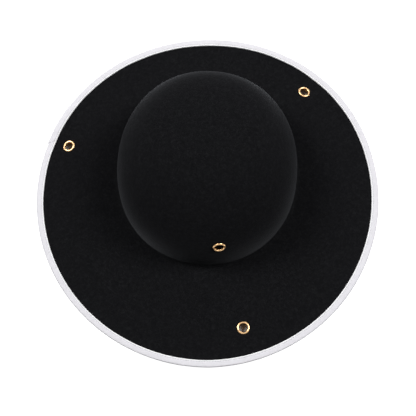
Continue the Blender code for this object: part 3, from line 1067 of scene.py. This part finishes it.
def brass_material(colours):
    """Lacquered brass: full colour on its crests, painted shade darkening it into the barrel and
    under the rims, with turning lines.
    """
    material, tree, shader = new_material("polished_brass")
    place = node(tree, "ShaderNodeTexCoord")["Object"]
    blotches = node(tree, "ShaderNodeTexNoise", Vector=place, Scale=900.0, Detail=3.0)["Fac"]
    section = node(tree, "ShaderNodeUVMap")["UV"]
    parts = node(tree, "ShaderNodeSeparateXYZ", Vector=section)
    patchy = math_node(tree, 'ADD', parts["Y"],
                       map_range(tree, blotches, 0.30, 0.70, -0.10, 0.10))
    # Painted shade: the brass is darker from its crests down into the barrel and under the rims,
    # with random patches.
    unshaded_share = map_range(tree, patchy, 0.15, 0.60)
    shaded_brass = tuple(part * share for part, share in zip(colours.brass, SHADED_BRASS))
    lines = node(tree, "ShaderNodeTexNoise", {"noise_dimensions": '1D'}, W=parts["X"],
                 Scale=9000.0, Detail=2.0)["Fac"]
    gloss = math_node(tree, 'ADD', map_range(tree, unshaded_share, 0.0, 1.0, 0.22, 0.27),
                      map_range(tree, lines, 0.30, 0.70, -0.03, 0.05))
    feed_by_name(tree, shader, Base_Color=blend_colours(tree, unshaded_share, shaded_brass, colours.brass),
                 Roughness=gloss, Metallic=1.0, Normal=bump(tree, blotches, 0.000004, 0.4))
    return material


# Stage

FLOOR_REACH = 2.2
FLOOR_GLOW = 0.96
FLOOR_SPILL = 0.40                   # share of the floor's glow that lights the hat
GLOW_START = 0.016                   # how far under the brim the glow begins
GLOW_FULL = 0.004                    # and is full
LENS = 70.64
LENS_NEAR = 0.05
CAMERA_PLACE = (0.03899, -0.25831, 0.82355)
CAMERA_DEGREES = (16.63, 1.278, 4.342)
LIGHTS_AIM = (0.0, 0.0, 0.03)

# name, place, side of the square and power in watts
SOFTBOXES = [
    ("softbox_left", (-5.10, 1.60, 6.60), 3.20, 450.0),
    ("softbox_right", (5.10, 1.60, 6.60), 3.20, 452.0),
    ("softbox_back_left", (-2.80, 5.50, 2.20), 2.60, 60.0),
    ("softbox_back_right", (2.80, 5.50, 2.20), 2.60, 60.0),
]


def floor_material(colours, brim_radius):
    """Floor that glows white outside the brim, a painted light with no lamp behind it, and is lit
    only by the lamps under it.
    """
    material, tree, shader = new_material("pale_floor")
    place = node(tree, "ShaderNodeTexCoord")["Object"]
    grain = node(tree, "ShaderNodeTexNoise", Vector=place, Scale=400.0, Detail=2.0)["Fac"]
    colour = blend_colours(tree, grain, toned(colours.floor, 0.99), colours.floor)
    reach = node(tree, "ShaderNodeVectorMath", {"operation": 'LENGTH'}, Vector=place)["Value"]
    outside = map_range(tree, reach, brim_radius - GLOW_START, brim_radius - GLOW_FULL)
    path = node(tree, "ShaderNodeLightPath")
    seen = math_node(tree, 'ADD', path["Is Camera Ray"], path["Is Glossy Ray"])
    spill = map_range(tree, seen, 0.0, 1.0, FLOOR_SPILL, 1.0)
    glow = math_node(tree, 'MULTIPLY', outside, spill)
    feed_by_name(tree, shader, Base_Color=colour, Emission_Color=glow,
                 Emission_Strength=FLOOR_GLOW, Roughness=0.9, Specular_IOR_Level=0.1)
    return material


def add_floor(colours, brim_radius):
    """A square floor under the hat, which isn't part of it."""
    square = np.array([[-1.0, -1.0, 0.0], [1.0, -1.0, 0.0], [1.0, 1.0, 0.0], [-1.0, 1.0, 0.0]])
    mesh = mesh_of("floor", FLOOR_REACH * square, np.array([[0, 1, 2, 3]]))
    mesh.materials.append(floor_material(colours, brim_radius))
    floor = bpy.data.objects.new("floor", mesh)
    bpy.context.scene.collection.objects.link(floor)


def pale_room(fill, backdrop, walls, ceiling):
    """A white room: a dim even fill on the hat, paler where the room itself shows.

    Mirrored in the brass it is bright overhead and dimmer towards its walls.
    """
    world = bpy.data.worlds.new("pale_room")
    world.use_nodes = True
    tree = world.node_tree
    place = node(tree, "ShaderNodeTexCoord")["Generated"]
    up = node(tree, "ShaderNodeSeparateXYZ", Vector=place)["Z"]
    mirrored = map_range(tree, up, 0.1, 0.9, walls - fill, ceiling - fill)
    path = node(tree, "ShaderNodeLightPath")
    in_brass = math_node(tree, 'MULTIPLY', path["Is Glossy Ray"], mirrored)
    shown = math_node(tree, 'MULTIPLY', path["Is Camera Ray"], backdrop - fill)
    strength = math_node(tree, 'ADD', math_node(tree, 'ADD', in_brass, shown), fill)
    feed_by_name(tree, tree.nodes["Background"], Color=(1.0, 1.0, 1.0, 1.0), Strength=strength)
    return world


def add_light(name, place, size, power):
    """A square softbox that looks at the hat."""
    lamp = bpy.data.lights.new(name, 'AREA')
    lamp.size = size
    lamp.energy = power
    light = bpy.data.objects.new(name, lamp)
    light.location = place
    away = np.array(place) - np.array(LIGHTS_AIM)
    pitch = math.acos(away[2] / np.linalg.norm(away))
    light.rotation_euler = (pitch, 0.0, math.atan2(away[1], away[0]) + math.pi / 2.0)
    bpy.context.scene.collection.objects.link(light)


def add_camera(scene):
    """The camera, high over the hat's front."""
    lens = bpy.data.cameras.new("camera")
    lens.lens = LENS
    lens.clip_start = LENS_NEAR
    camera = bpy.data.objects.new("camera", lens)
    camera.location = CAMERA_PLACE
    camera.rotation_euler = Euler([math.radians(degrees) for degrees in CAMERA_DEGREES])
    scene.collection.objects.link(camera)
    scene.camera = camera


# Operators


class HAT_OT_felt_body(bpy.types.Operator):
    """Adds the crown and brim with the eyelets' holes"""

    bl_idname = "hat.felt_body"
    bl_label = "Felt body"

    def execute(self, context):
        sizes, colours = context.scene.hat_sizes, context.scene.hat_colours
        shape = HatShape(sizes)
        radius = sizes.hole_radius + BARREL_WALL + CLEARANCE
        mesh = punch_holes(felt_mesh(shape, sizes), shape, radius)
        material = felt_material(colours, shared_group("Matted fibre", fibre_group))
        add_piece("felt_body_shell", mesh, material, ["felt_body"])
        return {'FINISHED'}


class HAT_OT_brim_binding(bpy.types.Operator):
    """Adds the tape round the brim, its lapped end and its two rows of stitches"""

    bl_idname = "hat.brim_binding"
    bl_label = "Brim binding"

    def execute(self, context):
        sizes, colours = context.scene.hat_sizes, context.scene.hat_colours
        shape = HatShape(sizes)
        weave = shared_group("Plain weave", weave_group)
        cloth = tape_material(colours, weave, stitch_across(shape, sizes),
                              even_pitch(shape, sizes))
        tape = add_piece("brim_binding_tape", tape_mesh(shape, sizes), cloth,
                         ["brim_binding"])
        spun = thread_material(colours, shared_group("Matted fibre", fibre_group))
        stitches = add_piece("brim_binding_stitches", stitch_mesh(shape, sizes), spun,
                             [])
        length = tape_length(shape)
        return {'FINISHED'}


class HAT_OT_eyelets(bpy.types.Operator):
    """Adds the brass eyelets of the brim and the crown"""

    bl_idname = "hat.eyelets"
    bl_label = "Eyelets"

    def execute(self, context):
        sizes, colours = context.scene.hat_sizes, context.scene.hat_colours
        shape = HatShape(sizes)
        brass = brass_material(colours)
        for seat in shape.seats():
            name = seat.name + "_ring"
            mesh = eyelet_mesh(name, shape, sizes, seat)
            add_piece(name, mesh, brass, [seat.name], sharp_degrees=60.0)
        return {'FINISHED'}


class HAT_OT_stage(bpy.types.Operator):
    """Adds the pale floor, the soft lights and the camera"""

    bl_idname = "hat.stage"
    bl_label = "Stage"

    def execute(self, context):
        scene = context.scene
        add_floor(scene.hat_colours, scene.hat_sizes.brim_radius)
        for softbox in SOFTBOXES:
            add_light(*softbox)
        scene.world = pale_room(fill=0.10, backdrop=0.90, walls=0.20, ceiling=0.85)
        add_camera(scene)
        scene.view_settings.view_transform = 'Standard'
        return {'FINISHED'}


class HAT_PT_panel(bpy.types.Panel):
    """Lists the hat's pieces and sizes"""

    bl_idname = "HAT_PT_panel"
    bl_label = "Felt hat"
    bl_space_type = 'VIEW_3D'
    bl_region_type = 'UI'
    bl_category = "Hat"

    def draw(self, context):
        for operator in OPERATORS:
            self.layout.operator(operator.bl_idname)
        for group in (context.scene.hat_sizes, context.scene.hat_colours):
            for key in group.__annotations__:
                self.layout.prop(group, key)


OPERATORS = (HAT_OT_felt_body, HAT_OT_brim_binding, HAT_OT_eyelets, HAT_OT_stage)
CLASSES = (HatSizes, HatColours, *OPERATORS, HAT_PT_panel)


def register():
    for kind in CLASSES:
        bpy.utils.register_class(kind)
    bpy.types.Scene.hat_sizes = PointerProperty(type=HatSizes)
    bpy.types.Scene.hat_colours = PointerProperty(type=HatColours)


def unregister():
    del bpy.types.Scene.hat_colours
    del bpy.types.Scene.hat_sizes
    for kind in reversed(CLASSES):
        bpy.utils.unregister_class(kind)


def main():
    """Builds the pieces and the stage."""
    register()
    bpy.ops.hat.felt_body()
    bpy.ops.hat.brim_binding()
    bpy.ops.hat.eyelets()
    bpy.ops.hat.stage()


if __name__ == "__main__":
    main()
